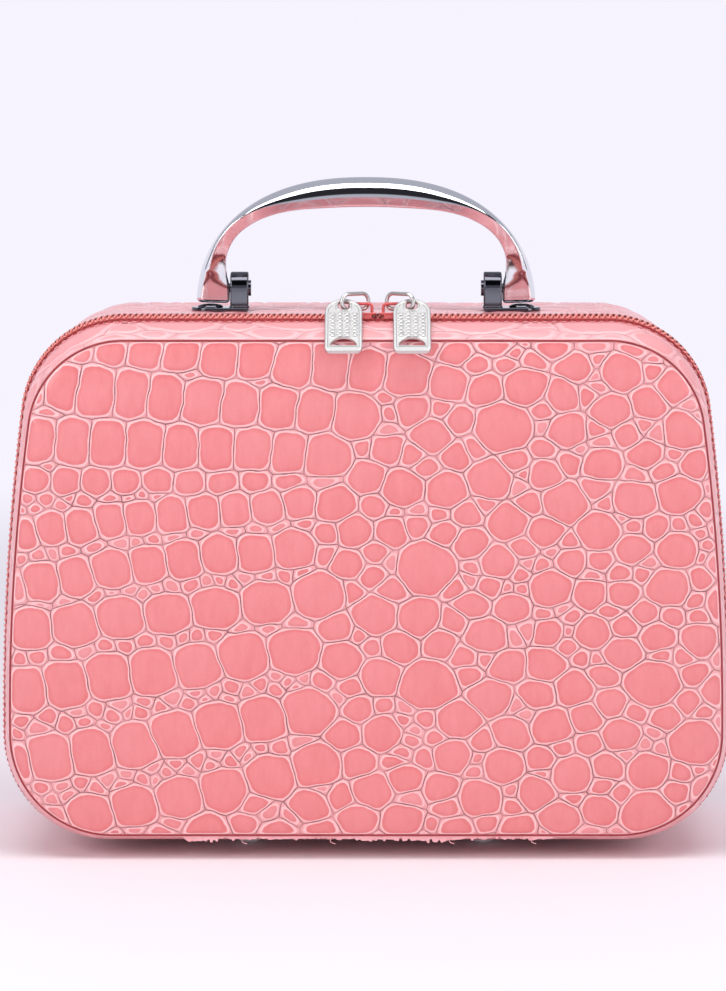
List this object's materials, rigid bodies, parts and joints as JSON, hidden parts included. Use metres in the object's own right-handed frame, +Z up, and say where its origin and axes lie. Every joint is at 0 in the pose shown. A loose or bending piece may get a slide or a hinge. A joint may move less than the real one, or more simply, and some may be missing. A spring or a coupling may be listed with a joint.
{
  "type": "makeup train case",
  "caption": "Stiff leathercloth vanity case with a bail handle, a zip all round with two sliders, a drop-front lid with a mirror, and elastic loops.",
  "frame": {"origin": "on the ground under the middle of the case, at the middle of its bounding box", "axes": "+X to the viewer's right along the case's width, +Y to the back of the case, +Z up through the handle"},
  "size_m": [0.2364, 0.0984, 0.2185],
  "materials": {
    "croc_leathercloth": "crocodile embossed, semi-gloss",
    "stiffening_board": "grey paperboard",
    "lining_cloth": "woven polyester",
    "zip_tape": "herringbone tape",
    "zip_coil": "nylon coil",
    "elastic": "ribbed elastic",
    "mirror": "silvered glass",
    "chrome_plate": "polished",
    "zinc_steel": "zinc plated",
    "nickel_plate": "nickel plated, satin",
    "slider_enamel": "coral enamel"
  },
  "bodies": {
    "case": {"back_panel": "croc_leathercloth", "body_gusset": "croc_leathercloth", "body_board": "stiffening_board", "body_lining": "lining_cloth", "body_zip_tape": "zip_tape", "body_zip_coil": "zip_coil", "hinge_strip": "croc_leathercloth", "elastic_loops": "elastic", "ground_studs": "chrome_plate", "stud_washers": "zinc_steel", "bracket_left": "chrome_plate", "bracket_right": "chrome_plate", "bracket_rivets": "chrome_plate", "backing_plates": "zinc_steel", "pivot_pins": "chrome_plate"},
    "lid": {"lid_front_panel": "croc_leathercloth", "lid_gusset": "croc_leathercloth", "lid_board": "stiffening_board", "lid_lining": "lining_cloth", "lid_zip_tape": "zip_tape", "lid_zip_coil": "zip_coil", "mirror": "mirror", "mirror_frame": "lining_cloth"},
    "handle": {"handle": "chrome_plate"},
    "slider_left": {"slider_left": "slider_enamel"},
    "pull_ring_left": {"pull_ring_left": "nickel_plate"},
    "pull_tab_left": {"pull_tab_left": "nickel_plate"},
    "slider_right": {"slider_right": "slider_enamel"},
    "pull_ring_right": {"pull_ring_right": "nickel_plate"},
    "pull_tab_right": {"pull_tab_right": "nickel_plate"}
  },
  "joints": [
    {"name": "lid_hinge", "type": "hinge", "parent": "case", "child": "lid", "pos_m": [0, -0.03401, 0.01025], "axis": [1, 0, 0], "range_deg": [0, 88], "deforming": ["hinge_strip"]},
    {"name": "handle_fold", "type": "hinge", "parent": "case", "child": "handle", "pos_m": [0, 0.00324, 0.182], "axis": [1, 0, 0], "range_deg": [-88, 74]},
    {"name": "slider_left_travel", "type": "slide", "parent": "lid", "child": "slider_left", "axis": [1, 0, 0], "range_m": [-0.064, 0]},
    {"name": "pull_ring_left_swing", "type": "hinge", "parent": "slider_left", "child": "pull_ring_left", "pos_m": [-0.0017, -0.02876, 0.17725], "axis": [-0.8192, -0.5736, 0], "range_deg": [0, 35]},
    {"name": "pull_tab_left_swing", "type": "hinge", "parent": "pull_ring_left", "child": "pull_tab_left", "pos_m": [-0.00571, -0.03157, 0.17975], "axis": [-0.5736, 0.8192, 0], "range_deg": [0, 45]},
    {"name": "slider_right_travel", "type": "slide", "parent": "lid", "child": "slider_right", "axis": [1, 0, 0], "range_m": [0, 0.057]},
    {"name": "pull_ring_right_swing", "type": "hinge", "parent": "slider_right", "child": "pull_ring_right", "pos_m": [0.0091, -0.02876, 0.17725], "axis": [-0.8192, 0.5736, 0], "range_deg": [0, 35]},
    {"name": "pull_tab_right_swing", "type": "hinge", "parent": "pull_ring_right", "child": "pull_tab_right", "pos_m": [0.01311, -0.03157, 0.17975], "axis": [-0.5736, -0.8192, 0], "range_deg": [0, 45]}
  ]
}
